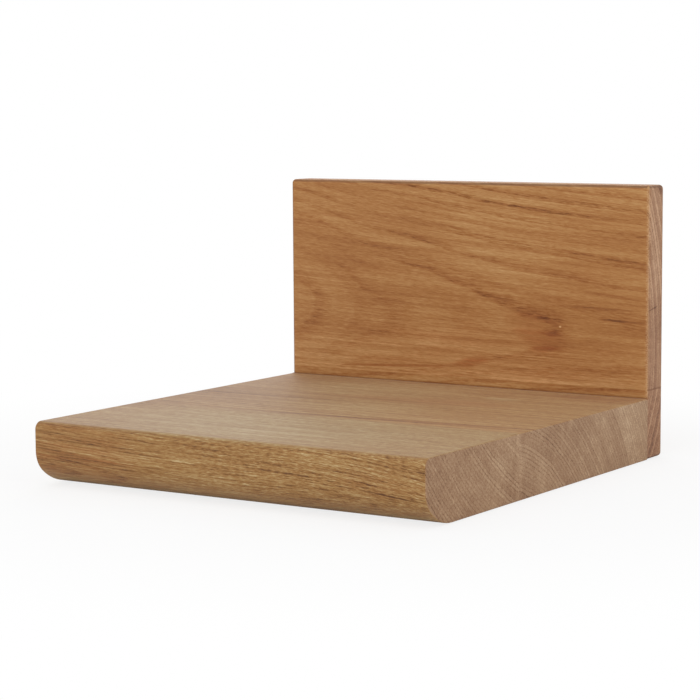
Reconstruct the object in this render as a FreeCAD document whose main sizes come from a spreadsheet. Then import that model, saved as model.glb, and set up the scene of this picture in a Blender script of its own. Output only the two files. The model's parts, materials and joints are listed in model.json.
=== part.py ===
import FreeCAD, Part
import math
import os
import Sketcher

# A small wall shelf of solid oak, in millimetres: +Z up, +X to the right, the front faces -Y.
# The origin lies on the wall plane, midway between the two keyholes that it hangs on.

SIZES = {
    # boards
    "board_width": 250,
    "back_height": 160,
    "back_thickness": 20,
    "shelf_thickness": 36,
    "seam_rise": 5,
    "front_stave_depth": 96,
    "rear_stave_depth": 156,
    # rounded edges
    "back_easing": 2.5,
    "shelf_easing": 1,
    "front_top_radius": 4.5,
    "nose_radius": 15.5,
    "under_radius": 33,
    "under_reach": 27,
    # row of dowels and screws that joins the shelf to the back
    "fixing_inset": 23,
    "dowel_diameter": 8,
    "dowel_length": 40,
    "dowel_in_back": 12,
    "dowel_chamfer": 1,
    "dowel_end_room": 1,
    "flute_diameter": 1,
    "joint_screw_diameter": 5,
    "joint_screw_length": 60,
    "joint_screw_point": 6,
    "joint_screw_head": 10,
    "joint_screw_rim": 0.5,
    "joint_screw_sink": 1,
    "joint_drive_span": 5,
    "joint_drive_slot": 1.2,
    "joint_drive_depth": 2,
    # keyhole hanger plates and their screws
    "hanger_inset": 40,
    "hanger_drop": 32,
    "plate_length": 46,
    "plate_width": 17,
    "plate_thickness": 2.2,
    "plate_screw_spacing": 34,
    "keyhole_entry": 9.5,
    "keyhole_slot": 5,
    "keyhole_rise": 10,
    "keyhole_drop": 4.5,
    "head_room_width": 12,
    "head_room_depth": 11,
    "hanger_screw_diameter": 3,
    "hanger_screw_length": 14,
    "hanger_screw_point": 3,
    "hanger_screw_head": 5.4,
    "hanger_screw_rim": 0.2,
    "hanger_screw_sink": 0.1,
    "hanger_drive_span": 3.2,
    "hanger_drive_slot": 0.8,
    "hanger_drive_depth": 1.2,
    # clearances, on the radius or on each side
    "dowel_fit": 0.05,
    "screw_fit": 0.1,
    "plate_fit": 0.2,
    "screw_end_room": 1,
    "cut_overrun": 1,
}
SAME_PLACE = 1e-6
FLUTES_PER_DOWEL = 12
FIXINGS = ("dowel", "screw", "dowel", "screw", "dowel", "screw", "dowel")
SIDES = {"left": -1, "right": 1}
LEVELS = {"upper": 1, "lower": -1}

doc = FreeCAD.newDocument("wall_shelf")
sheet = doc.addObject("Spreadsheet::Sheet", "Sizes")
for row, (alias, number) in enumerate(SIZES.items(), start=1):
    sheet.set(f"A{row}", alias)
    sheet.set(f"B{row}", str(number))
    sheet.setAlias(f"B{row}", alias)
doc.recompute()


class Length:
    """A length with its value in millimetres and the expression on the sheet that gives it."""

    def __init__(self, value, text):
        self.value = value
        self.text = text

    def __add__(self, other):
        return Length(self.value + other.value, f"({self.text} + {other.text})")

    def __sub__(self, other):
        return Length(self.value - other.value, f"({self.text} - {other.text})")

    def __mul__(self, factor):
        return Length(self.value * factor, f"({self.text} * {factor})")

    def __truediv__(self, divisor):
        return Length(self.value / divisor, f"({self.text} / {divisor})")

    def __neg__(self):
        return Length(-self.value, f"(-{self.text})")


def size(alias):
    """The length that stands on the sheet under this alias."""
    return Length(float(sheet.get(alias)), f"Sizes.{alias}")


ZERO = Length(0, "0")
half_width = size("board_width") / 2
underside = size("hanger_drop") + size("keyhole_drop") - size("back_height")
joint_line = underside + size("shelf_thickness") / 2
joint_plane = -size("back_thickness")
seam_height = size("shelf_thickness") + size("seam_rise")
hanger_reach = half_width - size("hanger_inset")
plate_centre = size("keyhole_drop")


# Bodies, sketches and features

def new_body(label, x=ZERO, y=ZERO, z=ZERO):
    body = doc.addObject("PartDesign::Body", label)
    body.Label = label
    for axis, place in zip("xyz", (x, y, z)):
        body.setExpression(f"Placement.Base.{axis}", place.text)
    return body


def new_sketch(body, name, role, offset=ZERO):
    sketch = body.newObject("Sketcher::SketchObject", name)
    plane = next(datum for datum in body.Origin.OriginFeatures if datum.Role == role)
    sketch.AttachmentSupport = [(plane, "")]
    sketch.MapMode = "FlatFace"
    sketch.setExpression("AttachmentOffset.Base.z", offset.text)
    return sketch


def point(x, y):
    return FreeCAD.Vector(x.value, y.value, 0)


def pin(sketch, kind, references, length):
    """Add one dimension to a sketch, driven by the sheet."""
    index = sketch.addConstraint(Sketcher.Constraint(kind, *references, length.value))
    sketch.setExpression(f"Constraints[{index}]", length.text)


def place(sketch, geometry, vertex, x, y):
    """Fix a vertex at x, y from the sketch's origin, or on its axes where one of them is zero."""
    for kind, axis, length in (("DistanceX", -2, x), ("DistanceY", -1, y)):
        if length is ZERO:
            sketch.addConstraint(Sketcher.Constraint("PointOnObject", geometry, vertex, axis))
        else:
            pin(sketch, kind, (geometry, vertex), length)


def draw_outline(sketch, corners):
    """A closed outline of straight lines through these corners."""
    first = sketch.GeometryCount
    count = len(corners)
    for index, corner in enumerate(corners):
        following = corners[(index + 1) % count]
        sketch.addGeometry(Part.LineSegment(point(*corner), point(*following)))
    for index, corner in enumerate(corners):
        joined = first + (index + 1) % count
        sketch.addConstraint(Sketcher.Constraint("Coincident", first + index, 2, joined, 1))
        place(sketch, first + index, 1, *corner)


def draw_rectangle(sketch, left, right, bottom, top):
    draw_outline(sketch, [(left, bottom), (right, bottom), (right, top), (left, top)])


def draw_circle(sketch, x, y, diameter):
    circle = Part.Circle(point(x, y), FreeCAD.Vector(0, 0, 1), diameter.value / 2)
    index = sketch.addGeometry(circle)
    pin(sketch, "Diameter", (index,), diameter)
    place(sketch, index, 3, x, y)


def add_arc(sketch, x, y, radius, start, end):
    circle = Part.Circle(point(x, y), FreeCAD.Vector(0, 0, 1), radius.value)
    return sketch.addGeometry(Part.ArcOfCircle(circle, start, end))


def draw_corner(sketch, side, x, y, radius):
    """What easing takes off the square corner at x, y: on the right for side 1, on the left for -1."""
    inner = x - radius * side
    start, on_front, on_end = (1.5 * math.pi, 1, 2) if side > 0 else (math.pi, 2, 1)
    arc = add_arc(sketch, inner, y + radius, radius, start, start + math.pi / 2)
    front = sketch.addGeometry(Part.LineSegment(point(inner, y), point(x, y)))
    end = sketch.addGeometry(Part.LineSegment(point(x, y), point(x, y + radius)))
    sketch.addConstraint(Sketcher.Constraint("Tangent", front, 1, arc, on_front))
    sketch.addConstraint(Sketcher.Constraint("Tangent", end, 2, arc, on_end))
    sketch.addConstraint(Sketcher.Constraint("Coincident", front, 2, end, 1))
    sketch.addConstraint(Sketcher.Constraint("Horizontal", front))
    sketch.addConstraint(Sketcher.Constraint("Vertical", end))
    pin(sketch, "Radius", (arc,), radius)
    place(sketch, front, 2, x, y)


def draw_slot(sketch, x, bottom, top, width):
    """An upright slot with round ends, whose end centres lie at x and at bottom and top."""
    radius = width / 2
    upper = add_arc(sketch, x, top, radius, 0, math.pi)
    left = sketch.addGeometry(Part.LineSegment(point(x - radius, top), point(x - radius, bottom)))
    lower = add_arc(sketch, x, bottom, radius, math.pi, 2 * math.pi)
    right = sketch.addGeometry(Part.LineSegment(point(x + radius, bottom), point(x + radius, top)))
    loop = (upper, left, lower, right)
    for one, following in zip(loop, loop[1:] + loop[:1]):
        sketch.addConstraint(Sketcher.Constraint("Tangent", one, 2, following, 1))
    sketch.addConstraint(Sketcher.Constraint("Equal", upper, lower))
    pin(sketch, "Radius", (upper,), radius)
    place(sketch, upper, 3, x, top)
    place(sketch, lower, 3, x, bottom)


def draw_keyhole(sketch, x, entry_centre, slot_centre, entry, slot):
    """A round entry with a narrower slot that rises out of it."""
    entry_radius = entry / 2
    slot_radius = slot / 2
    lean = math.asin(slot.value / entry.value)
    shoulder = entry_centre + entry_radius * math.cos(lean)
    around = add_arc(sketch, x, entry_centre, entry_radius, math.pi / 2 + lean, 5 * math.pi / 2 - lean)
    right = sketch.addGeometry(
        Part.LineSegment(point(x + slot_radius, shoulder), point(x + slot_radius, slot_centre)))
    crown = add_arc(sketch, x, slot_centre, slot_radius, 0, math.pi)
    left = sketch.addGeometry(
        Part.LineSegment(point(x - slot_radius, slot_centre), point(x - slot_radius, shoulder)))
    sketch.addConstraint(Sketcher.Constraint("Coincident", around, 2, right, 1))
    sketch.addConstraint(Sketcher.Constraint("Tangent", right, 2, crown, 1))
    sketch.addConstraint(Sketcher.Constraint("Tangent", crown, 2, left, 1))
    sketch.addConstraint(Sketcher.Constraint("Coincident", left, 2, around, 1))
    sketch.addConstraint(Sketcher.Constraint("Vertical", right))
    sketch.addConstraint(Sketcher.Constraint("Vertical", left))
    pin(sketch, "Radius", (around,), entry_radius)
    pin(sketch, "Radius", (crown,), slot_radius)
    place(sketch, around, 3, x, entry_centre)
    place(sketch, crown, 3, x, slot_centre)


def pad(body, sketch, length, side_type="One side"):
    feature = body.newObject("PartDesign::Pad", f"{sketch.Name}_pad")
    feature.Profile = sketch
    feature.SideType = side_type
    feature.setExpression("Length", length.text)
    doc.recompute()


def revolve(body, sketch):
    feature = body.newObject("PartDesign::Revolution", f"{sketch.Name}_turned")
    feature.Profile = sketch
    feature.ReferenceAxis = (sketch, ["V_Axis"])
    doc.recompute()


def cut(body, sketch, depth, forward=True):
    """Pocket the sketch, towards -Y or up when forward, and make sure that it took wood away."""
    before = body.Tip.Shape.Volume
    feature = body.newObject("PartDesign::Pocket", f"{sketch.Name}_cut")
    feature.Profile = sketch
    feature.setExpression("Length", depth.text)
    feature.Reversed = forward
    doc.recompute()
    if feature.Shape.Volume >= before:
        raise RuntimeError(f"{feature.Name} cuts nothing")
    return feature


def edges_where(body, wanted):
    """Names of the edges of the body so far whose box passes a test."""
    edges = enumerate(body.Tip.Shape.Edges, start=1)
    return [f"Edge{index}" for index, edge in edges if wanted(edge.BoundBox)]


def ease(body, wanted, radius):
    base = (body.Tip, edges_where(body, wanted))
    feature = body.newObject("PartDesign::Fillet", "Eased")
    feature.Base = base
    feature.setExpression("Radius", radius.text)
    doc.recompute()


def bevel(body, wanted, depth):
    base = (body.Tip, edges_where(body, wanted))
    feature = body.newObject("PartDesign::Chamfer", "Bevelled")
    feature.Base = base
    feature.setExpression("Size", depth.text)
    doc.recompute()


def flat_at(low, high, level):
    """Is this extent of an edge's box a single place, at the given level?"""
    return abs(low - level) < SAME_PLACE and abs(high - level) < SAME_PLACE


def is_ring(box, level, diameter):
    """Is this the box of a full circle of this diameter, square to Y at the given level?"""
    off_size = max(abs(box.XLength - diameter), abs(box.ZLength - diameter))
    return flat_at(box.YMin, box.YMax, level) and off_size < SAME_PLACE


def on_an_end(box):
    return flat_at(box.XMin, box.XMax, half_width.value) or flat_at(box.XMin, box.XMax, -half_width.value)


# Places along the joint between shelf and back

def fixing_places(kind):
    first = size("fixing_inset") - half_width
    pitch = (size("board_width") - size("fixing_inset") * 2) / (len(FIXINGS) - 1)
    return [first + pitch * index for index, fixing in enumerate(FIXINGS) if fixing == kind]


# Shelf board

def make_shelf_front_stave():
    body = new_body("shelf_front_stave", y=joint_plane - size("rear_stave_depth"), z=underside)
    sketch = new_sketch(body, "NoseProfile", "YZ_Plane")
    depth = size("front_stave_depth")
    thick = size("shelf_thickness")
    top_radius = size("front_top_radius")
    nose = size("nose_radius")
    under = size("under_radius")
    reach = size("under_reach")
    turn = math.asin((reach - nose).value / (under - nose).value)
    nose_top = under - (under - nose) * math.cos(turn)
    bottom = sketch.addGeometry(Part.LineSegment(point(ZERO, ZERO), point(reach - depth, ZERO)))
    under_arc = add_arc(sketch, reach - depth, under, under, 1.5 * math.pi - turn, 1.5 * math.pi)
    nose_arc = add_arc(sketch, nose - depth, nose_top, nose, math.pi, 1.5 * math.pi - turn)
    front = sketch.addGeometry(
        Part.LineSegment(point(-depth, nose_top), point(-depth, thick - top_radius)))
    top_arc = add_arc(sketch, top_radius - depth, thick - top_radius, top_radius, math.pi / 2, math.pi)
    top = sketch.addGeometry(Part.LineSegment(point(top_radius - depth, thick), point(ZERO, thick)))
    seam = sketch.addGeometry(Part.LineSegment(point(ZERO, thick), point(ZERO, ZERO)))
    # each arc runs counter-clockwise, so going round clockwise meets its end first
    joins = ((bottom, 2, under_arc, 2), (under_arc, 1, nose_arc, 2), (nose_arc, 1, front, 1),
             (front, 2, top_arc, 2), (top_arc, 1, top, 1))
    for one, one_end, other, other_end in joins:
        sketch.addConstraint(Sketcher.Constraint("Tangent", one, one_end, other, other_end))
    sketch.addConstraint(Sketcher.Constraint("Coincident", top, 2, seam, 1))
    sketch.addConstraint(Sketcher.Constraint("Coincident", seam, 2, bottom, 1))
    sketch.addConstraint(Sketcher.Constraint("Horizontal", top))
    sketch.addConstraint(Sketcher.Constraint("Vertical", front))
    place(sketch, bottom, 1, ZERO, ZERO)
    place(sketch, bottom, 2, reach - depth, ZERO)
    place(sketch, seam, 1, ZERO, thick)
    pin(sketch, "DistanceX", (front, 1), -depth)
    for arc, radius in ((under_arc, under), (nose_arc, nose), (top_arc, top_radius)):
        pin(sketch, "Radius", (arc,), radius)
    pad(body, sketch, size("board_width"), "Symmetric")
    ease(body, lambda box: on_an_end(box) and not flat_at(box.YMin, box.YMax, 0), size("shelf_easing"))


def make_shelf_rear_stave():
    body = new_body("shelf_rear_stave", y=joint_plane, z=underside)
    outline = new_sketch(body, "RearStaveEnd", "XZ_Plane")
    thick = size("shelf_thickness")
    draw_rectangle(outline, -half_width, half_width, ZERO, thick)
    pad(body, outline, size("rear_stave_depth"))
    ease(body, lambda box: on_an_end(box) and box.ZLength < box.YLength, size("shelf_easing"))
    sockets = new_sketch(body, "DowelSockets", "XZ_Plane")
    for x in fixing_places("dowel"):
        draw_circle(sockets, x, thick / 2, size("dowel_diameter") + size("dowel_fit") * 2)
    cut(body, sockets, size("dowel_length") - size("dowel_in_back") + size("dowel_end_room"))
    pilots = new_sketch(body, "ScrewPilots", "XZ_Plane")
    for x in fixing_places("screw"):
        draw_circle(pilots, x, thick / 2, size("joint_screw_diameter") + size("screw_fit") * 2)
    reach = size("joint_screw_length") + size("joint_screw_sink") - size("back_thickness")
    cut(body, pilots, reach + size("screw_end_room"))


# Back board

def make_back_lower_stave():
    body = new_body("back_lower_stave", z=underside)
    outline = new_sketch(body, "LowerStaveFace", "XZ_Plane")
    thick = size("back_thickness")
    easing = size("back_easing")
    draw_rectangle(outline, -half_width, half_width, ZERO, seam_height)
    pad(body, outline, thick)
    ease(body, lambda box: not (flat_at(box.YMin, box.YMax, -thick.value)
                                or flat_at(box.ZMin, box.ZMax, seam_height.value)), easing)
    # the upright front edges are eased only above the shelf, whose ends lie flush below
    corners = new_sketch(body, "FrontCorners", "XY_Plane", offset=size("shelf_thickness"))
    for side in SIDES.values():
        draw_corner(corners, side, half_width * side, -thick, easing)
    cut(body, corners, size("seam_rise") + size("cut_overrun"))
    level = size("shelf_thickness") / 2
    sockets = new_sketch(body, "BackDowelSockets", "XZ_Plane", offset=thick)
    for x in fixing_places("dowel"):
        draw_circle(sockets, x, level, size("dowel_diameter") + size("dowel_fit") * 2)
    cut(body, sockets, size("dowel_in_back") + size("dowel_end_room"), forward=False)
    shanks = new_sketch(body, "ScrewShanks", "XZ_Plane")
    bore = size("joint_screw_diameter") + size("screw_fit") * 2
    for x in fixing_places("screw"):
        draw_circle(shanks, x, level, bore)
    cut(body, shanks, thick + size("cut_overrun"))
    # the cone of each countersink starts one more clearance inside its counterbore
    heads = new_sketch(body, "ScrewHeads", "XZ_Plane")
    for x in fixing_places("screw"):
        draw_circle(heads, x, level, size("joint_screw_head") + size("screw_fit") * 4)
    counterbore = size("joint_screw_sink") + size("joint_screw_rim")
    cut(body, heads, counterbore)
    bevel(body, lambda box: is_ring(box, -counterbore.value, bore.value), screw_cone("joint_screw"))


def make_back_upper_stave():
    body = new_body("back_upper_stave", z=underside + seam_height)
    outline = new_sketch(body, "UpperStaveFace", "XZ_Plane")
    height = size("back_height") - seam_height
    draw_rectangle(outline, -half_width, half_width, ZERO, height)
    pad(body, outline, size("back_thickness"))
    ease(body, lambda box: not flat_at(box.ZMin, box.ZMax, 0), size("back_easing"))
    centre = height - size("hanger_drop")
    entry = centre - size("keyhole_drop")
    plates = new_sketch(body, "PlateRecesses", "XZ_Plane")
    rooms = new_sketch(body, "HeadRooms", "XZ_Plane")
    pilots = new_sketch(body, "HangerPilots", "XZ_Plane")
    for side in SIDES.values():
        x = hanger_reach * side
        end = (size("plate_length") - size("plate_width")) / 2
        draw_slot(plates, x, centre - end, centre + end, size("plate_width") + size("plate_fit") * 2)
        draw_slot(rooms, x, entry, entry + size("keyhole_rise"), size("head_room_width"))
        for level in LEVELS.values():
            pilot = size("hanger_screw_diameter") + size("screw_fit") * 2
            draw_circle(pilots, x, centre + size("plate_screw_spacing") / 2 * level, pilot)
    cut(body, plates, size("plate_thickness"))
    cut(body, rooms, size("head_room_depth"))
    cut(body, pilots, size("hanger_screw_sink") + size("hanger_screw_length") + size("screw_end_room"))


# Dowels, screws and hanger plates

def make_dowel(label, x):
    body = new_body(label, x, joint_plane + size("dowel_in_back"), joint_line)
    section = new_sketch(body, "DowelSection", "XZ_Plane")
    draw_circle(section, ZERO, ZERO, size("dowel_diameter"))
    pad(body, section, size("dowel_length"))
    bevel(body, lambda box: box.YLength < box.XLength, size("dowel_chamfer"))
    groove = new_sketch(body, "Flute", "XZ_Plane")
    draw_circle(groove, ZERO, size("dowel_diameter") / 2, size("flute_diameter"))
    flute = cut(body, groove, size("dowel_length"))
    ring = body.newObject("PartDesign::PolarPattern", "Flutes")
    ring.Originals = [flute]
    ring.Axis = (next(datum for datum in body.Origin.OriginFeatures if datum.Role == "Y_Axis"), [""])
    ring.Angle = 360
    ring.Occurrences = FLUTES_PER_DOWEL
    body.Tip = ring


def screw_cone(kind):
    """Height of a screw's square countersunk cone, from its rim down to its shank."""
    return (size(f"{kind}_head") - size(f"{kind}_diameter")) / 2


def make_screw(label, kind, drive, x, z):
    """A countersunk screw that points to -Y, its threads shown by their outer diameter alone."""
    body = new_body(label, x, -size(f"{kind}_sink"), z)
    profile = new_sketch(body, "ScrewProfile", "XY_Plane")
    head = size(f"{kind}_head") / 2
    shank = size(f"{kind}_diameter") / 2
    length = size(f"{kind}_length")
    rim = size(f"{kind}_rim")
    draw_outline(profile, [
        (ZERO, ZERO),
        (ZERO, -length),
        (shank, size(f"{kind}_point") - length),
        (shank, -rim - screw_cone(kind)),
        (head, -rim),
        (head, ZERO),
    ])
    revolve(body, profile)
    cross = new_sketch(body, "CrossRecess", "XZ_Plane")
    arm = size(f"{drive}_span") / 2
    slot = size(f"{drive}_slot") / 2
    draw_outline(cross, [
        (-slot, arm), (-slot, slot), (-arm, slot), (-arm, -slot), (-slot, -slot), (-slot, -arm),
        (slot, -arm), (slot, -slot), (arm, -slot), (arm, slot), (slot, slot), (slot, arm),
    ])
    cut(body, cross, size(f"{drive}_depth"))


def make_hanger_plate(label, x):
    body = new_body(label, x, ZERO, plate_centre)
    outline = new_sketch(body, "PlateOutline", "XZ_Plane")
    end = (size("plate_length") - size("plate_width")) / 2
    draw_slot(outline, ZERO, -end, end, size("plate_width"))
    entry = -size("keyhole_drop")
    draw_keyhole(outline, ZERO, entry, entry + size("keyhole_rise"),
                 size("keyhole_entry"), size("keyhole_slot"))
    hole = size("hanger_screw_diameter") + size("screw_fit") * 2
    for level in LEVELS.values():
        draw_circle(outline, ZERO, size("plate_screw_spacing") / 2 * level, hole)
    pad(body, outline, size("plate_thickness"))
    countersink = size("hanger_screw_sink") + size("hanger_screw_rim") + screw_cone("hanger_screw")
    bevel(body, lambda box: is_ring(box, 0, hole.value), countersink)


make_shelf_front_stave()
make_shelf_rear_stave()
make_back_lower_stave()
make_back_upper_stave()
for number, x in enumerate(fixing_places("dowel"), start=1):
    make_dowel(f"joint_dowel_{number}", x)
for number, x in enumerate(fixing_places("screw"), start=1):
    make_screw(f"joint_screw_{number}", "joint_screw", "joint_drive", x, joint_line)
for side, sign in SIDES.items():
    make_hanger_plate(f"hanger_plate_{side}", hanger_reach * sign)
    for level, step in LEVELS.items():
        z = plate_centre + size("plate_screw_spacing") / 2 * step
        make_screw(f"hanger_screw_{side}_{level}", "hanger_screw", "hanger_drive", hanger_reach * sign, z)

# Every object has to be sound before anything is written
doc.recompute()
for part in doc.Objects:
    if "Invalid" in part.State or "Error" in part.State:
        raise RuntimeError(f"{part.Name} failed: {part.State}")
bodies = [part for part in doc.Objects if part.TypeId == "PartDesign::Body"]
for body in bodies:
    if body.Shape.isNull() or not body.Shape.isValid() or len(body.Shape.Solids) != 1:
        raise RuntimeError(f"{body.Label} is not one valid solid")

os.makedirs("parts", exist_ok=True)
for body in bodies:
    body.Shape.exportStep(f"parts/{body.Label}.step")
    print(f"{body.Label}: {body.Shape.Volume:.0f} mm3")
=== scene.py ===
# Solid oak wall shelf: finishes, light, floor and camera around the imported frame
import json
import math

import bpy
from mathutils import Matrix, Vector


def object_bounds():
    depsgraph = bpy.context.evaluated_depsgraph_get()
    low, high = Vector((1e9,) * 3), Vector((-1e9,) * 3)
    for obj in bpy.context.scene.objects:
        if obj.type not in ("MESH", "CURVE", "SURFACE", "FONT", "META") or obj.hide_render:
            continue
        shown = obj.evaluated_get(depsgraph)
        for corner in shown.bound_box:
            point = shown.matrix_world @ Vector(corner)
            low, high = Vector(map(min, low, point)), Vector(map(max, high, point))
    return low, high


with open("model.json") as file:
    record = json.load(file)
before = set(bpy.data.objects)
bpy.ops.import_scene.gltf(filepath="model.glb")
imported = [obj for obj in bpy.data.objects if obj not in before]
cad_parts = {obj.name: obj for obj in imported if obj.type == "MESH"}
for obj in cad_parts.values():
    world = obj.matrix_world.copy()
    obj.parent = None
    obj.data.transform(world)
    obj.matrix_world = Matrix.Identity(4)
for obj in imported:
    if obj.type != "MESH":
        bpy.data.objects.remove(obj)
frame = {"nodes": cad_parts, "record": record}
nodes = frame["nodes"]
cadLow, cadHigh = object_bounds()
scene = bpy.context.scene
print("frame:", len(nodes), "nodes")


class Wire:
    # a socket of a node tree; sums written on it become nodes
    def __init__(self, tree, socket=None):
        self.tree = tree
        self.socket = socket

    # adds a node: settings first, then values or links for its inputs
    def node(self, kind, settings=None, inputs=None, output=0):
        made = self.tree.nodes.new(kind)
        for name, value in (settings or {}).items():
            if name == "stops":
                self.fillRamp(made.color_ramp, value)
            else:
                setattr(made, name, value)
        for name, value in (inputs or {}).items():
            if isinstance(value, Wire):
                self.tree.links.new(value.socket, made.inputs[name])
            else:
                made.inputs[name].default_value = value
        return Wire(self.tree, made.outputs[output] if made.outputs else None)

    def fillRamp(self, ramp, stops):
        while len(ramp.elements) < len(stops):
            ramp.elements.new(1.0)
        for element, (level, colour) in zip(ramp.elements, stops):
            element.position = level
            element.color = colour

    def math(self, operation, *values):
        return self.node("ShaderNodeMath", {"operation": operation}, dict(enumerate(values)))

    def __add__(self, other):
        return self.math("ADD", self, other)

    def __radd__(self, other):
        return self.math("ADD", other, self)

    def __sub__(self, other):
        return self.math("SUBTRACT", self, other)

    def __rsub__(self, other):
        return self.math("SUBTRACT", other, self)

    def __mul__(self, other):
        return self.math("MULTIPLY", self, other)

    def __rmul__(self, other):
        return self.math("MULTIPLY", other, self)

    def __truediv__(self, other):
        return self.math("DIVIDE", self, other)

    def __neg__(self):
        return self.math("MULTIPLY", self, -1.0)

    def __abs__(self):
        return self.math("ABSOLUTE", self)

    # 0 below low, 1 above high, eased between; low may be the larger one
    def step(self, low, high):
        if low > high:
            return 1.0 - self.step(high, low)
        inputs = {"Value": self, "From Min": low, "From Max": high}
        return self.node("ShaderNodeMapRange", {"interpolation_type": "SMOOTHSTEP"}, inputs)

    def parts(self):
        split = self.node("ShaderNodeSeparateXYZ", None, {"Vector": self})
        outputs = split.socket.node.outputs
        return [Wire(self.tree, socket) for socket in outputs]

    # noise around 0, drawn out to the given lengths in millimetres along x, y and z
    def noise(self, lengths, seed=0.0, detail=2.0, roughness=0.5):
        inputs = {"Vector": self, "Location": (seed, seed * 1.7, seed * 2.3)}
        inputs["Scale"] = tuple(1.0 / length for length in lengths)
        drawn = self.node("ShaderNodeMapping", None, inputs)
        inputs = {"Vector": drawn, "Scale": 1.0, "Detail": detail, "Roughness": roughness}
        return self.node("ShaderNodeTexNoise", None, inputs) - 0.5

    # one value from 0 to 1 for each whole number
    def chance(self, seed=0.0):
        settings = {"noise_dimensions": "1D"}
        return self.node("ShaderNodeTexWhiteNoise", settings, {"W": self + seed})

    # this colour with another laid over it where the mask is 1
    def under(self, colour, mask, blend="MIX"):
        settings = {"data_type": "RGBA", "blend_type": blend, "clamp_factor": True}
        return self.node("ShaderNodeMix", settings, {0: mask, 6: self, 7: colour}, 2)

    # colours along a list of (level, colour)
    def ramp(self, stops):
        return self.node("ShaderNodeValToRGB", {"stops": stops}, {"Fac": self})


def srgb(red, green, blue):
    levels = []
    for value in (red, green, blue):
        level = value / 255
        levels.append(level / 12.92 if level <= 0.04045 else ((level + 0.055) / 1.055) ** 2.4)
    return (*levels, 1.0)


def newFinish(name):
    material = bpy.data.materials.new(name)
    material.use_nodes = True
    material.node_tree.nodes.clear()
    start = Wire(material.node_tree)
    coords = start.node("ShaderNodeTexCoord", output="Object")
    settings = {"operation": "SCALE"}
    place = start.node("ShaderNodeVectorMath", settings, {0: coords, "Scale": 1000.0})
    return material, place


def closeFinish(place, inputs, relief, depth):
    heights = {"Height": relief, "Strength": 1.0, "Distance": depth / 1000}
    bump = place.node("ShaderNodeBump", None, heights)
    surface = place.node("ShaderNodeBsdfPrincipled", None, {**inputs, "Normal": bump})
    place.node("ShaderNodeOutputMaterial", None, {"Surface": surface})


# Oak, in millimetres: x from the middle, y from the wall, z from the underside
underside = cadLow.z * 1000
oak = {
    "tones": [(0.0, srgb(92, 46, 6)), (0.3, srgb(148, 91, 36)), (0.5, srgb(167, 113, 57)),
              (0.7, srgb(184, 137, 82)), (1.0, srgb(216, 176, 125))],
    "endTones": [(0.0, srgb(104, 70, 44)), (0.3, srgb(145, 109, 79)), (0.5, srgb(162, 128, 98)),
                 (0.7, srgb(178, 147, 117)), (1.0, srgb(208, 182, 154))],
    "redTint": (0.92, 0.66, 0.5, 1.0),
    # pale cool tint of a painted sheen of reflected light on the shelf top
    "paintedSheenTint": (0.94, 1.06, 1.26, 1.0),
    # tone of the glue lines and of the painted corner shade
    "seamAndCornerShadeTone": srgb(110, 62, 20),
    "rimTone": srgb(104, 66, 38),
    # tone of the painted highlight on the back's right front edge
    "paintedHighlightTone": srgb(200, 164, 124),
    "level": 0.56,
    "endLevel": 0.6,
    "roughness": 0.64,
    "sheen": 0.1,
    "sheenRoughness": 0.45,
    "reliefDepth": 0.1,
}
# how much each layer of the grain counts in the tone, in the roughness and in the relief
weights = {
    "tone": {"streak": 0.6, "band": 0.5, "hair": 0.6, "cloud": 0.26, "luck": 0.08, "rays": 0.05,
             "rings": -0.2, "pores": -0.15},
    "endTone": {"cloud": 0.7, "speckle": 1.0, "rays": 0.1, "band": 0.4, "rings": -0.28, "ringPores": -0.7},
    "roughness": {"streak": 0.15, "pores": 0.1, "end": 0.1},
    "relief": {"streak": 0.3, "longPores": -0.6, "hair": 0.3, "endRings": -0.8, "seam": -0.5},
}
# noise of the grain: lengths along x, y and z, step of the seed, detail, roughness
layers = {
    "wander": ((160, 45, 45), 0, 1.0, 0.5),
    "ripple": ((34, 6, 6), 1, 3.0, 0.65),
    "streak": ((48, 0.9, 0.9), 2, 4.0, 0.72),
    "band": ((110, 4.5, 4.5), 3, 2.0, 0.5),
    "hair": ((5, 0.5, 0.5), 4, 2.0, 0.6),
    "dashes": ((7, 0.6, 0.6), 5, 2.0, 0.6),
    "cloud": ((110, 38, 38), 6, 2.0, 0.5),
    "rays": ((7, 0.5, 14), 7, 2.0, 0.5),
    "blush": ((80, 14, 14), 8, 2.0, 0.5),
    "flecks": ((3.4, 0.55, 0.55), 9, 3.0, 0.7),
    "uneven": ((400, 16, 7), 10, 2.0, 0.5),
    "speckle": ((2.5, 0.9, 0.9), 11, 2.0, 0.6),
    "lines": ((40, 0.6, 0.6), 12, 4.0, 0.72),
}
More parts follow.
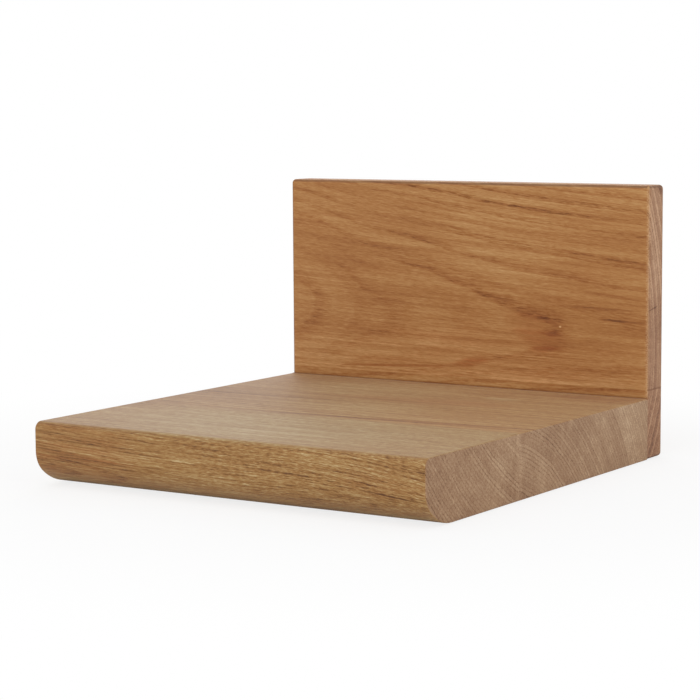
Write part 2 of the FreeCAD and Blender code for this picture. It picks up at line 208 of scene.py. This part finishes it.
# Each stave: pith at (y, z), its lean per x, and swells of it (rise, begin, end along x); year rings;
# slant of the fibres (per x, and more with height); dark rings shown along x (begin, whole, fading, gone);
# marks by face, as ellipses: tone is lighter or darker, red is redder, and the third kind is a painted
# sheen of reflected light, greyer and paler; some marks are painted light and shade, noted where they stand
staves = {
    "back_upper_stave": {
        "pith": (-183.4, 73.4), "lean": (-0.013, -0.069),
        "swells": [(3.7, -125, -60), (2.35, -67, 50)],
        "spacing": 2.9, "wander": 0.5, "uneven": 0.4,
        "slant": (-0.03, 0.00095), "blush": 0.2, "seed": 3.1,
        "tint": (1.0, 1.0, 1.0, 1.0),
        "endLift": -0.01, "endTint": (0.94, 0.765, 0.65, 1.0), "ringTone": 0.65,
        "darkRings": [
            {"at": 162.4, "depth": 0.19, "width": 1.4, "along": (-200, -180, -95, -40)},
            {"at": 166.3, "depth": 0.3, "width": 1.2, "along": (-110, -80, -45, 0)},
            {"at": 170.0, "depth": 0.7, "width": 1.3, "along": (-75, -25, 62, 80), "below": 0.45},
            {"at": 173.8, "depth": 0.35, "width": 0.9, "along": (-90, -20, 60, 125)},
            {"at": 177.8, "depth": 0.65, "width": 1.0, "along": (-60, 0, 140, 150)},
            {"at": 181.5, "depth": 0.3, "width": 0.8, "along": (-80, 0, 140, 150)},
            {"at": 185.2, "depth": 1.0, "width": 1.2, "along": (-90, -50, 50, 120)},
            {"at": 188.0, "depth": 0.65, "width": 0.9, "along": (20, 60, 140, 150)},
        ],
        "marks": {
            "front": [
                {"at": (52, 72), "reach": (25, 14), "slope": -0.35, "tone": -0.1, "red": 0.6},
                {"at": (56, 61.5), "reach": (14, 3), "slope": 0.12, "tone": -0.16, "red": 0.5},
                {"at": (61, 78), "reach": (10, 2.4), "slope": -0.4, "tone": -0.12, "red": 0.3},
                {"at": (63, 70.5), "reach": (6, 3), "slope": 0.1, "tone": -0.14, "red": 0.35},
                {"at": (96, 87.5), "reach": (30, 0.9), "slope": -0.03, "tone": -0.3},
                {"at": (107, 80.5), "reach": (20, 1.0), "slope": -0.05, "tone": -0.25},
                {"at": (102, 95), "reach": (25, 1.2), "slope": -0.1, "tone": -0.22, "red": 0.2},
                {"at": (7, 51), "reach": (15, 4), "slope": 0.2, "tone": -0.16, "red": 0.9},
                {"at": (30, 54), "reach": (60, 7), "slope": 0.1, "tone": 0.07},
                {"at": (-48, 45.5), "reach": (50, 1.2), "slope": 0.045, "tone": -0.33, "red": 0.4},
                {"at": (67.5, 75.4), "reach": (1.1, 0.9), "tone": 0.9},
                # painted light: the bottom of the back lighter and redder, as light bounced from the shelf
                # would make it
                {"at": (-5, 36), "reach": (170, 48), "tone": 0.18, "red": 0.45},
                {"at": (0, 152), "reach": (320, 48), "red": -0.25},
                {"at": (105, 88), "reach": (70, 60), "tone": -0.08},
                {"at": (-105, 142), "reach": (80, 45), "tone": -0.05},
            ],
            "end": [
                {"at": (-14, 88.3), "reach": (8, 0.6), "slope": 0.19, "tone": -0.5},
                {"at": (-4, 158), "reach": (7, 5), "tone": -0.4},
                {"at": (-10, 150), "reach": (30, 30), "tone": 0.08},
                {"at": (-10, 52), "reach": (40, 36), "tone": -0.1},
                {"at": (-2, 92), "reach": (9, 42), "tone": -0.1},
            ],
        },
    },
    "back_lower_stave": {
        "pith": (-150.0, 92.0), "lean": (-0.03, 0.02), "swells": [],
        "spacing": 2.8, "wander": 2.5, "uneven": 0.5,
        "slant": (-0.03, 0.00095), "blush": 0.2, "seed": 11.7,
        "tint": (1.0, 1.0, 1.0, 1.0),
        "endLift": -0.05, "endTint": (0.95, 0.775, 0.66, 1.0), "ringTone": 0.5,
        "darkRings": [], "marks": {},
    },
    "shelf_rear_stave": {
        "pith": (-214.0, -88.0), "lean": (0.03, 0.0), "swells": [],
        "spacing": 2.3, "wander": 1.8, "uneven": 2.2,
        "slant": (0.0, 0.0), "blush": 0.09, "seed": 23.9,
        "tint": (0.97, 1.1, 1.18, 1.0),
        "endLift": 0.0, "endTint": (0.91, 0.845, 0.745, 1.0), "ringTone": 0.18,
        "darkRings": [
            {"at": 168.2, "depth": 0.6, "width": 0.7, "along": (90, 100, 140, 150)},
            {"at": 188.3, "depth": 0.6, "width": 0.7, "along": (90, 100, 140, 150)},
            {"at": 189.2, "depth": -0.2, "width": 60.0, "along": (119, 123, 140, 150)},
        ],
        "marks": {
            "top": [
                {"at": (40, -168), "reach": (115, 4.6), "slope": 0.085, "tone": -0.34, "red": 0.1},
                # painted sheen: the top paler and greyer towards the left, where reflected light whitens it
                {"at": (-90, -130), "reach": (170, 150), "paintedSheen": 0.8},
                {"at": (-30, -60), "reach": (65, 40), "tone": 0.09},
                {"at": (105, -34), "reach": (45, 22), "tone": -0.07, "red": 0.5},
                # painted shade: the next two darken the top towards the left
                {"at": (-135, -60), "reach": (75, 90), "tone": -0.13},
                {"at": (-105, -152), "reach": (125, 78), "tone": -0.2},
                # painted highlight: a small pale glint on the top
                {"at": (53, -64), "reach": (16, 6), "tone": 0.2, "paintedSheen": 0.6},
                {"at": (104, -27), "reach": (9, 5), "tone": 0.16},
                {"at": (15, -93), "reach": (75, 16), "slope": 0.05, "red": 0.7},
            ],
            "end": [
                {"at": (-30, 18), "reach": (70, 60), "tone": 0.06},
                {"at": (-175, 18), "reach": (3, 60), "tone": 0.1},
            ],
        },
    },
    "shelf_front_stave": {
        "pith": (-82.0, 194.0), "lean": (0.0, -0.1), "swells": [],
        "spacing": 2.3, "wander": 1.8, "uneven": 2.2,
        "slant": (0.0, 0.0), "blush": 0.12, "seed": 37.3,
        "bend": {"at": 30, "ease": 30, "left": 0.0002, "right": 0.0009},  # fibres curve away from x = at
        "tint": (0.885, 1.1, 1.29, 1.0),
        "endLift": -0.03, "endTint": (0.91, 0.845, 0.745, 1.0), "ringTone": 0.18,
        "darkRings": [],
        "marks": {
            "top": [
                # painted shade: the top darker towards the left
                {"at": (-120, -210), "reach": (140, 120), "tone": -0.1},
                # painted sheen: the front of the top paler and greyer
                {"at": (-15, -225), "reach": (130, 70), "tone": 0.12, "paintedSheen": 0.5},
            ],
            "front": [
                # painted shade: the front edge darker towards its underside
                {"at": (0, 2), "reach": (600, 12), "tone": -0.09},
                {"at": (106, 15.2), "reach": (24, 0.7), "slope": -0.105, "tone": -0.5},
                {"at": (40, 21.8), "reach": (40, 0.6), "slope": -0.03, "tone": -0.3},
                {"at": (-86, 26.6), "reach": (14, 0.7), "slope": -0.12, "tone": -0.3},
                {"at": (-75, 18), "reach": (45, 0.8), "slope": -0.055, "tone": -0.12, "red": 0.2},
                {"at": (-92, 21.2), "reach": (17, 0.7), "slope": -0.055, "tone": 0.35},
                {"at": (-25, 22.1), "reach": (12, 0.7), "slope": -0.04, "tone": 0.3},
                {"at": (-112, 18), "reach": (35, 12), "tone": -0.05, "red": 0.2},
                {"at": (-95, 22), "reach": (50, 30), "tone": -0.03, "red": 0.65},
                {"at": (15, 17), "reach": (60, 9), "tone": 0.08, "red": -0.3},
                {"at": (102, 21), "reach": (35, 10), "tone": -0.06, "red": 0.2},
            ],
            "end": [
                {"at": (-177, 18), "reach": (3, 60), "tone": 0.1},
                {"at": (-265, 18), "reach": (85, 80), "tone": -0.13},
            ],
        },
    },
}
# dark glue lines between staves, and painted shade in the corners where the shelf meets the back; each with
# its place and where it fades out and is whole
joints = {
    "backSeam": {"at": 41.0, "width": (0.8, 0.2)},
    "shelfTopCornerShade": {"at": 36.0, "width": (1.1, 0.2)},
    "shelfSeam": {"at": -176.0, "width": (0.6, 0.2), "weight": 0.3},
    "backFrontCornerShade": {"at": -20.0, "width": (1.4, 0.3)},
    "weight": 0.6,
}
# the rounded edges of the back, drawn darker (rim), and a painted highlight along the upright front edge at
# the right (arris)
edges = {
    "arrisFrom": (0.2, 0.5), "arrisTo": (0.97, 0.8), "arrisHighlight": 0.2, "arrisHair": 2.0,
    "rimFrom": (0.98, 0.85), "rim": 0.65, "rimStreak": 1.5,
    "rimLeft": 0.7, "rimMore": 0.3, "rimAlong": (-125, 60),
}
# axes in a face, the axis it looks along, and which way
faces = {"front": ("xz", "y", -1), "top": ("xy", "z", 1), "end": ("yz", "x", 1)}
# how squarely a surface looks along an axis: not counted below the first, whole above the second
squarely = {"end": (0.55, 0.85), "mark": (0.4, 0.7), "flat": (0.5, 0.9), "nose": (0.2, 0.7)}


def layer(source, kind, seed):
    lengths, further, detail, roughness = layers[kind]
    return source.noise(lengths, seed + further, detail, roughness)


def weigh(grain, use):
    total = 0.0
    for kind, weight in weights[use].items():
        total = total + grain[kind] * weight
    return total


# growth rings around a pith line that leans and swells: darkness, luck of the year, and a fan of rays
def growRings(place, x, y, z, stave):
    seed = stave["seed"]
    fromY = y - stave["pith"][0] - x * stave["lean"][0]
    fromZ = z - stave["pith"][1] - x * stave["lean"][1]
    for rise, begin, finish in stave["swells"]:
        fromY = fromY + x.step(begin, finish) * rise
    squares = fromY * fromY + fromZ * fromZ
    radius = squares.math("SQRT", squares)
    angle = fromZ.math("ARCTAN2", fromZ, fromY) * 150
    above = fromZ.step(-4, 2)
    fan = place.node("ShaderNodeCombineXYZ", None, {"X": x, "Y": angle, "Z": radius})
    radius = radius + layer(place, "wander", seed) * stave["wander"]
    radius = radius + layer(place, "ripple", seed)
    radius = radius + layer(fan, "uneven", seed) * stave["uneven"]
    years = radius / stave["spacing"]
    year = years.math("FLOOR", years)
    season = years - year
    luck = year.chance(seed * 2)
    rings = season.step(0.0, 0.08) * season.step(0.5, 0.12) * (0.14 + luck * luck * 0.6)
    for ring in stave["darkRings"]:
        past = radius - ring["at"]
        begin, whole, fading, gone = ring["along"]
        shown = x.step(begin, whole) * x.step(gone, fading) * ring["depth"]
        if "below" in ring:  # weaker under the pith
            shown = shown * (ring["below"] + above * (1 - ring["below"]))
        rings = rings + past.step(0.0, 0.3) * past.step(ring["width"], 0.2) * shown
    return rings, luck, fan


# place with the fibres laid straight: they slant, and in one stave they curve
def alongFibres(place, x, y, z, stave):
    low, more = stave["slant"]
    rise = x * (low + z * more)
    if "bend" in stave:
        bend = stave["bend"]
        past = x - bend["at"]
        curve = bend["left"] + past.step(-bend["ease"], bend["ease"]) * (bend["right"] - bend["left"])
        rise = rise + past * abs(past) * curve
    return place.node("ShaderNodeCombineXYZ", None, {"X": x, "Y": y, "Z": z + rise})


def makeOak(name, stave):
    material, place = newFinish(name)
    seed = stave["seed"]
    x, y, z = place.parts()
    z = z - underside
    spot = {"x": x, "y": y, "z": z}
    facing = dict(zip("xyz", place.node("ShaderNodeTexCoord", output="Normal").parts()))
    end = abs(facing["x"]).step(*squarely["end"])
    # fibres, pores and rays
    rings, luck, fan = growRings(place, x, y, z, stave)
    fibre = alongFibres(place, x, y, z, stave)
    streak = layer(fibre, "streak", seed)
    hair = layer(fibre, "hair", seed)
    dashes = layer(fibre, "dashes", seed).step(-0.04, 0.12)
    pores = dashes * (0.25 + rings * 1.7)
    grain = {
        "streak": streak, "hair": hair, "pores": pores, "rings": rings, "luck": luck - 0.5, "end": end,
        "band": layer(fibre, "band", seed),
        "cloud": layer(place, "cloud", seed),
        "speckle": layer(place, "speckle", seed),
        "rays": layer(fan, "rays", seed).step(0.04, 0.22),
        "ringPores": rings * dashes,
        "longPores": pores * (1.0 - end),
        "endRings": rings * end,
    }
    # long grain
    tone = weigh(grain, "tone")
    if name.startswith("shelf"):
        tone = tone + hair * 0.4 * facing["z"].step(*squarely["flat"])
    # coarser flecks on the front edge, shorter to the right, where it cuts the rings more slantwise
    if name.startswith("shelf_front"):
        nose = (-facing["y"]).step(*squarely["nose"])
        short = x.step(-80, 30)
        flecks = layer(fibre, "flecks", seed) * (0.7 + short * 0.8)
        lines = layer(fibre, "lines", seed) * (1.7 - short * 0.3)
        tone = tone + (flecks + lines - tone * 0.3 - 0.1) * nose
    tone = tone + oak["level"]
    blush = (layer(place, "blush", seed).step(0.0, 0.35) + rings) * stave["blush"]
    paintedSheen = 0.0
    endTone = weigh(grain, "endTone") + grain["luck"] * stave["ringTone"]
    endTone = endTone + (oak["endLevel"] + stave["endLift"])
    # single marks
    for face, marks in stave["marks"].items():
        axes, third, sign = faces[face]
        shown = (facing[third] * sign).step(*squarely["mark"])
        for mark in marks:
            along, across = [spot[axis] - at for axis, at in zip(axes, mark["at"])]
            across = (across - along * mark.get("slope", 0.0)) / mark["reach"][1]
            along = along / mark["reach"][0]
            mask = (along * along + across * across).step(1.0, 0.0) * shown
            if face == "end":
                endTone = endTone + mask * mark["tone"]
                continue
            if "tone" in mark:
                tone = tone + mask * mark["tone"] * (0.8 + streak * 3.0)
            if "red" in mark:
                blush = blush + mask * mark["red"] * (0.45 + streak * 3.5 + hair * 1.5)
            if "paintedSheen" in mark:
                paintedSheen = paintedSheen + mask * mark["paintedSheen"]
    colour = tone.ramp(oak["tones"]).under(oak["redTint"], blush, "MULTIPLY")
    # painted sheen laid over the grain where the marks ask for it
    colour = colour.under(oak["paintedSheenTint"], paintedSheen, "MULTIPLY")
    colour = colour.under(stave["tint"], 1.0, "MULTIPLY")
    endColour = endTone.ramp(oak["endTones"]).under(stave["endTint"], 1.0, "MULTIPLY")
    colour = colour.under(endColour, end)
    # glue lines, painted shade in the corners where shelf and back meet, and on the back its darker rounded
    # edges and a painted highlight on the right front edge
    toFront = -facing["y"]
    if name.startswith("back"):
        # painted highlight along the right front edge of the back
        arrisHighlight = facing["x"].step(*edges["arrisFrom"]) * facing["x"].step(*edges["arrisTo"])
        arrisHighlight = arrisHighlight * toFront.step(*edges["arrisFrom"])
        most = abs(facing["x"]).math("MAXIMUM", abs(facing["x"]), abs(facing["y"]))
        most = most.math("MAXIMUM", most, abs(facing["z"]))
        rim = most.step(*edges["rimFrom"]) * (1.0 - arrisHighlight)
        rim = rim * (edges["rimLeft"] + x.step(*edges["rimAlong"]) * edges["rimMore"])
        colour = colour.under(oak["rimTone"], rim * (edges["rim"] + streak * edges["rimStreak"]))
        colour = colour.under(oak["paintedHighlightTone"], arrisHighlight * (edges["arrisHighlight"] + hair * edges["arrisHair"]))
        glue, cornerShade = joints["backSeam"], joints["shelfTopCornerShade"]
        seam = abs(z - glue["at"]).step(*glue["width"]) * end
        # painted shade in the corner on the back, just above the shelf top
        seam = seam + (z - cornerShade["at"]).step(*cornerShade["width"]) * toFront.step(*squarely["flat"])
    else:
        glue, cornerShade = joints["shelfSeam"], joints["backFrontCornerShade"]
        seam = abs(y - glue["at"]).step(*glue["width"]) * (1.0 - end) * glue["weight"]
        # painted shade in the corner on the shelf top, along the back
        seam = seam + (cornerShade["at"] - y).step(*cornerShade["width"]) * facing["z"].step(*squarely["flat"])
    colour = colour.under(oak["seamAndCornerShadeTone"], seam * joints["weight"])
    grain["seam"] = seam
    inputs = {"Base Color": colour, "Roughness": oak["roughness"] + weigh(grain, "roughness")}
    inputs["Sheen Weight"] = oak["sheen"]
    inputs["Sheen Roughness"] = oak["sheenRoughness"]
    closeFinish(place, inputs, weigh(grain, "relief"), oak["reliefDepth"])
    return material


# Beech of the dowels
beech = {
    "tones": [(0.2, srgb(176, 128, 88)), (0.5, srgb(199, 155, 113)), (0.8, srgb(216, 178, 138))],
    "roughness": 0.6,
    "reliefDepth": 0.06,
}


def makeBeech(name):
    material, place = newFinish(name)
    grain = place.noise((0.5, 14, 0.5), 5.0, 2.0)
    flecks = place.noise((0.3, 2.5, 0.3), 6.0, 1.0).step(0.14, 0.24)
    colour = (0.5 + grain * 0.8 - flecks * 0.25).ramp(beech["tones"])
    inputs = {"Base Color": colour, "Roughness": beech["roughness"] + grain * 0.1}
    closeFinish(place, inputs, grain - flecks * 0.4, beech["reliefDepth"])
    return material


# Zinc plating of the hanger plates and the screws
platings = {
    "zinc_plate": {
        "tones": [(0.2, (0.44, 0.46, 0.48, 1)), (0.5, (0.6, 0.62, 0.64, 1)),
                  (0.8, (0.72, 0.74, 0.75, 1))],
        "brushed": (0.12, 0.12, 14.0), "roughness": 0.34, "reliefDepth": 0.03,
    },
    "zinc_screw": {
        "tones": [(0.2, (0.4, 0.42, 0.44, 1)), (0.5, (0.57, 0.59, 0.61, 1)),
                  (0.8, (0.7, 0.72, 0.74, 1))],
        "brushed": (0.5, 0.5, 0.5), "roughness": 0.3, "reliefDepth": 0.02,
    },
    "yellow_zinc": {
        "tones": [(0.2, (0.62, 0.4, 0.16, 1)), (0.5, (0.74, 0.58, 0.28, 1)),
                  (0.8, (0.7, 0.66, 0.42, 1))],
        "brushed": (0.6, 0.6, 0.6), "roughness": 0.3, "reliefDepth": 0.02,
    },
}


def makePlating(name, plating):
    material, place = newFinish(name)
    lines = place.noise(plating["brushed"], 2.0, 2.0)
    bloom = place.noise((5, 5, 5), 3.0, 3.0, 0.6)
    scuffs = place.noise((1.8, 1.8, 1.8), 4.0, 3.0, 0.7).step(0.12, 0.22)
    colour = (0.5 + bloom * 0.9 + lines * 0.25 - scuffs * 0.2).ramp(plating["tones"])
    rough = plating["roughness"] + bloom * 0.16 + lines * 0.1 + scuffs * 0.14
    inputs = {"Base Color": colour, "Metallic": 1.0, "Roughness": rough}
    closeFinish(place, inputs, lines + bloom * 0.5, plating["reliefDepth"])
    return material


finishes = {name: makeOak(name + "_oak", stave) for name, stave in staves.items()}
finishes["beech"] = makeBeech("beech")
for slot, plating in platings.items():
    finishes[slot] = makePlating(slot, plating)
slotOf = {piece["node"]: piece["material_slot"] for piece in frame["record"]["subparts"]}
for name, piece in nodes.items():
    finish = finishes.get(name) or finishes[slotOf[name]]
    for index in range(max(1, len(piece.data.materials))):
        if index < len(piece.data.materials):
            piece.data.materials[index] = finish
        else:
            piece.data.materials.append(finish)
print("finishes:", len(finishes))

# Floor: white to the camera, with part of the object's shadow left in it near the object
floor = {
    "reach": 6.0, "below": 0.0003, "tone": (1, 1, 1, 1),
    "shade": 0.2, "shadeFrom": 0.2, "shadeTo": 0.42,
}
reach = floor["reach"]
level = cadLow.z - floor["below"]
middle = (cadLow + cadHigh) / 2
corners = [(across * reach, along * reach, level) for across, along in ((-1, -1), (1, -1), (1, 1), (-1, 1))]
floorMesh = bpy.data.meshes.new("floor")
floorMesh.from_pydata(corners, [], [(0, 1, 2, 3)])
floorPiece = bpy.data.objects.new("floor", floorMesh)
scene.collection.objects.link(floorPiece)
floorLook, place = newFinish("floor")
x, y, z = place.parts()
x = x / 1000 - middle.x
y = y / 1000 - middle.y
squares = x * x + y * y
away = squares.math("SQRT", squares)
shade = away.step(floor["shadeTo"], floor["shadeFrom"]) * floor["shade"]
matte = place.node("ShaderNodeBsdfDiffuse", None, {"Color": floor["tone"]})
glow = place.node("ShaderNodeEmission", None, {"Color": (1, 1, 1, 1), "Strength": 1.0})
seen = place.node("ShaderNodeLightPath", output="Is Camera Ray")
mixed = place.node("ShaderNodeMixShader", None, {0: seen * (1.0 - shade), 1: matte, 2: glow})
place.node("ShaderNodeOutputMaterial", None, {"Surface": mixed})
floorMesh.materials.append(floorLook)

# Surroundings: white to the camera and in reflections, softer as light
light = {
    "dome": 0.62,
    "lamps": {
        "above": {"place": (0.1, -1.2, 1.6), "size": 1.6, "power": 6.5},
        "front": {"place": (0.4, -2.2, 0.3), "size": 1.8, "power": 12.0},
        "right": {"place": (1.9, -0.6, 0.7), "size": 1.4, "power": 4.2},
        "behind": {"place": (-1.3, 1.9, 0.7), "size": 2.3, "power": 15.0},
    },
}
world = bpy.data.worlds.new("surroundings")
scene.world = world
world.use_nodes = True
world.node_tree.nodes.clear()
start = Wire(world.node_tree)
paths = start.node("ShaderNodeLightPath").socket.node.outputs
shown = Wire(world.node_tree, paths["Is Camera Ray"])
for ray in ("Is Glossy Ray", "Is Transmission Ray"):
    shown = shown.math("MAXIMUM", shown, Wire(world.node_tree, paths[ray]))
soft = start.node("ShaderNodeBackground", None, {"Color": (1, 1, 1, 1), "Strength": light["dome"]})
white = start.node("ShaderNodeBackground", None, {"Color": (1, 1, 1, 1), "Strength": 1.0})
sky = start.node("ShaderNodeMixShader", None, {0: shown, 1: soft, 2: white})
start.node("ShaderNodeOutputWorld", None, {"Surface": sky})
for name, values in light["lamps"].items():
    lamp = bpy.data.lights.new(name, "AREA")
    lamp.shape = "DISK"
    lamp.size = values["size"]
    lamp.energy = values["power"]
    lampPiece = bpy.data.objects.new(name, lamp)
    lampPiece.location = values["place"]
    lampPiece.visible_camera = False
    aim = middle - lampPiece.location
    lampPiece.rotation_euler = aim.to_track_quat("-Z", "Y").to_euler()
    scene.collection.objects.link(lampPiece)

# Camera, as fitted to the straight edges of the photograph
camera = {
    "place": (0.68654, -1.20954, 0.09042),
    "yaw": 32.837, "pitch": 6.48, "roll": -0.347,
    "lens": 116.2, "sensor": 36.0,
}
yaw, pitch, roll = [math.radians(camera[key]) for key in ("yaw", "pitch", "roll")]
ahead = Vector((-math.sin(yaw) * math.cos(pitch), math.cos(yaw) * math.cos(pitch), -math.sin(pitch)))
flat = Vector((math.cos(yaw), math.sin(yaw), 0.0))
upright = flat.cross(ahead)
right = math.cos(roll) * flat + math.sin(roll) * upright
up = math.cos(roll) * upright - math.sin(roll) * flat
turn = Matrix((right, up, -ahead)).transposed()
lens = bpy.data.cameras.new("camera")
lens.lens = camera["lens"]
lens.sensor_width = camera["sensor"]
cameraPiece = bpy.data.objects.new("camera", lens)
cameraPiece.matrix_world = Matrix.Translation(camera["place"]) @ turn.to_4x4()
scene.collection.objects.link(cameraPiece)
scene.camera = cameraPiece
scene.view_settings.view_transform = "Standard"
print("light and camera set")
